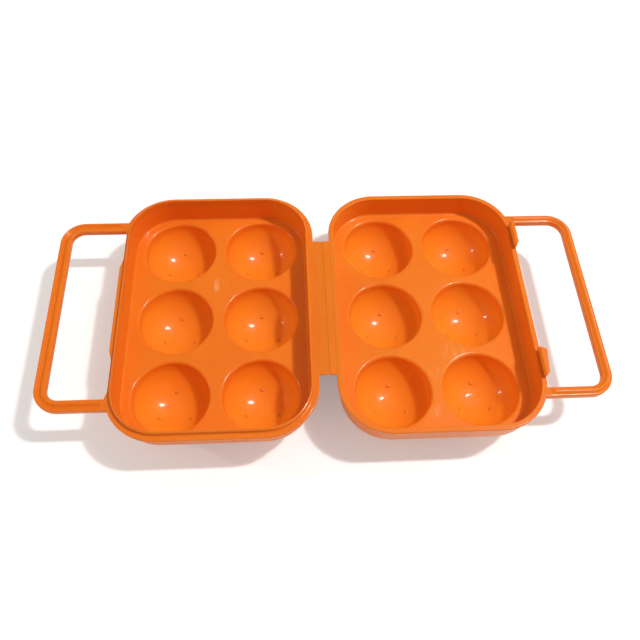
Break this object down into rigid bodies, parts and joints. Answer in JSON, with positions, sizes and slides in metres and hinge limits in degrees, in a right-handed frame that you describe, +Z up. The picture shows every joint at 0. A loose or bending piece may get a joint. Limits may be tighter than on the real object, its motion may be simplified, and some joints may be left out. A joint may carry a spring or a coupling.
{
  "type": "egg carrier box",
  "caption": "Clamshell egg carrier lying open: hinged trays with round cups, U-shaped carrying handles and snap latches, moulded in glossy orange plastic.",
  "frame": {"origin": "under the middle of the hinge strap, on the plane the cups stand on", "axes": "+X from the base tray to the lid tray across the fold line, +Y to the rear along the fold line, +Z up"},
  "size_m": [0.3072, 0.155, 0.041],
  "materials": {
    "orange_plastic": "moulded, glossy"
  },
  "bodies": {
    "base": {"base_tray": "orange_plastic", "base_handle": "orange_plastic", "base_hinge_leaf": "orange_plastic"},
    "lid": {"lid_tray": "orange_plastic", "lid_handle": "orange_plastic", "lid_hinge_leaf": "orange_plastic"},
    "latch_rear": {"latch_clip_rear": "orange_plastic"},
    "latch_front": {"latch_clip_front": "orange_plastic"}
  },
  "joints": [
    {"name": "lid_hinge", "type": "hinge", "parent": "base", "child": "lid", "pos_m": [0, 0, 0.03655], "axis": [0, -1, 0], "range_deg": [0, 180]},
    {"name": "latch_rear_flex", "type": "hinge", "parent": "lid", "child": "latch_rear", "pos_m": [0.1168, 0.04325, 0.0344], "axis": [0, 1, 0], "range_deg": [0, 14], "stiffness_Nm_per_rad": 0.05},
    {"name": "latch_front_flex", "type": "hinge", "parent": "lid", "child": "latch_front", "pos_m": [0.1168, -0.04105, 0.0344], "axis": [0, 1, 0], "range_deg": [0, 14], "stiffness_Nm_per_rad": 0.05}
  ]
}
